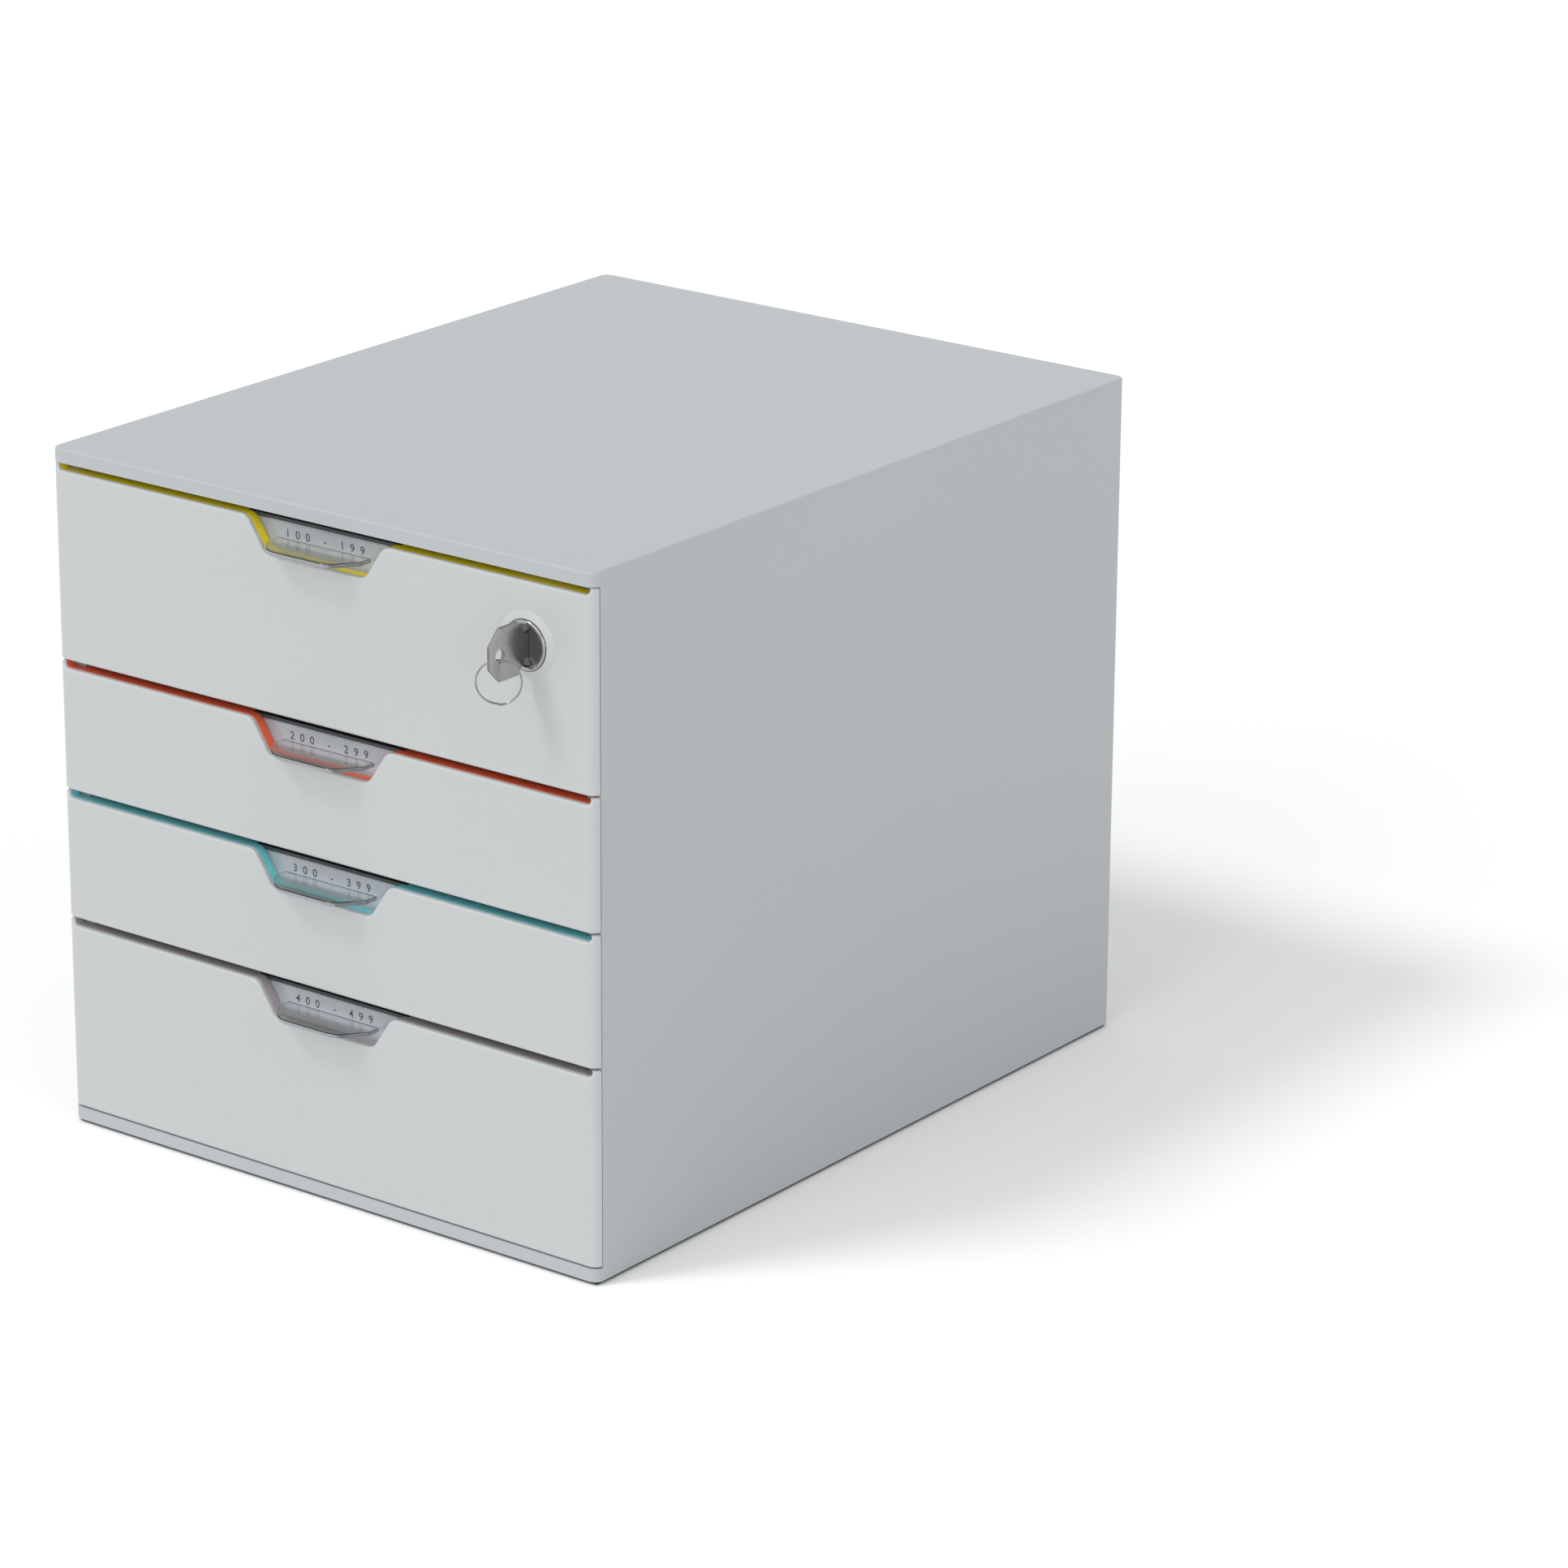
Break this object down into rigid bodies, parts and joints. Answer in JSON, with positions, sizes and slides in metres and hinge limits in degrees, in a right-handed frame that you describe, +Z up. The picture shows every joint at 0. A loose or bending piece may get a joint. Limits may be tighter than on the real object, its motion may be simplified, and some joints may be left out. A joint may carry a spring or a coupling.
{
  "type": "desktop file drawer",
  "caption": "Free-standing desktop drawer box with sliding trays, coloured edge trims, clear label lips and a cam lock with key in the top drawer.",
  "frame": {"origin": "on the desk, under the middle of the outline, key included", "axes": "+X to the right seen from the front, +Y from the drawer fronts to the back, +Z up"},
  "size_m": [0.28, 0.379, 0.292],
  "materials": {
    "housing_plastic": "fine spark-eroded satin moulding, cool light grey",
    "inner_plastic": "satin moulding, light grey",
    "foot_rubber": "dull dark rubber",
    "front_plastic": "satin moulding, white grey",
    "trim_yellow": "satin yellow",
    "trim_red_orange": "satin red-orange",
    "trim_teal": "satin teal",
    "trim_mauve_grey": "satin mauve grey",
    "clear_plastic": "clear polished",
    "label_card": "white card with plain numbers",
    "tray_plastic": "dark grey satin moulding",
    "lock_chrome": "bright chrome plate",
    "zinc_steel": "zinc plated",
    "wafer_brass": "stamped brass",
    "key_steel": "nickel plated, fine grain"
  },
  "bodies": {
    "housing": {"housing_shell": "housing_plastic", "back_panel": "housing_plastic", "runner_panel_left": "inner_plastic", "runner_panel_right": "inner_plastic", "foot_front_left": "foot_rubber", "foot_front_right": "foot_rubber", "foot_rear_left": "foot_rubber", "foot_rear_right": "foot_rubber"},
    "drawer_1": {"drawer_1_front": "front_plastic", "drawer_1_trim": "trim_yellow", "drawer_1_label_holder": "clear_plastic", "drawer_1_label_card": "label_card", "drawer_1_tray": "tray_plastic", "lock_barrel": "lock_chrome", "lock_nut": "zinc_steel"},
    "drawer_2": {"drawer_2_front": "front_plastic", "drawer_2_trim": "trim_red_orange", "drawer_2_label_holder": "clear_plastic", "drawer_2_label_card": "label_card", "drawer_2_tray": "tray_plastic"},
    "drawer_3": {"drawer_3_front": "front_plastic", "drawer_3_trim": "trim_teal", "drawer_3_label_holder": "clear_plastic", "drawer_3_label_card": "label_card", "drawer_3_tray": "tray_plastic"},
    "drawer_4": {"drawer_4_front": "front_plastic", "drawer_4_trim": "trim_mauve_grey", "drawer_4_label_holder": "clear_plastic", "drawer_4_label_card": "label_card", "drawer_4_tray": "tray_plastic"},
    "lock_plug": {"lock_plug": "lock_chrome", "lock_wafers": "wafer_brass", "lock_cam": "zinc_steel", "cam_screw": "zinc_steel"},
    "key": {"lock_key": "key_steel"},
    "key_ring": {"key_ring": "key_steel"}
  },
  "joints": [
    {"name": "drawer_1_slide", "type": "slide", "parent": "housing", "child": "drawer_1", "axis": [0, -1, 0], "range_m": [0, 0.262]},
    {"name": "drawer_2_slide", "type": "slide", "parent": "housing", "child": "drawer_2", "axis": [0, -1, 0], "range_m": [0, 0.262]},
    {"name": "drawer_3_slide", "type": "slide", "parent": "housing", "child": "drawer_3", "axis": [0, -1, 0], "range_m": [0, 0.262]},
    {"name": "drawer_4_slide", "type": "slide", "parent": "housing", "child": "drawer_4", "axis": [0, -1, 0], "range_m": [0, 0.262]},
    {"name": "lock_turn", "type": "hinge", "parent": "drawer_1", "child": "lock_plug", "pos_m": [0.1073, -0.1665, 0.2578], "axis": [0, 1, 0], "range_deg": [0, 90]},
    {"name": "key_slide", "type": "slide", "parent": "lock_plug", "child": "key", "axis": [0, -1, 0], "range_m": [0, 0.02]},
    {"name": "key_ring_swing", "type": "hinge", "parent": "key", "child": "key_ring", "pos_m": [0.1073, -0.1835, 0.2558], "axis": [0.788, 0.6157, 0], "range_deg": [-25, 25]}
  ]
}
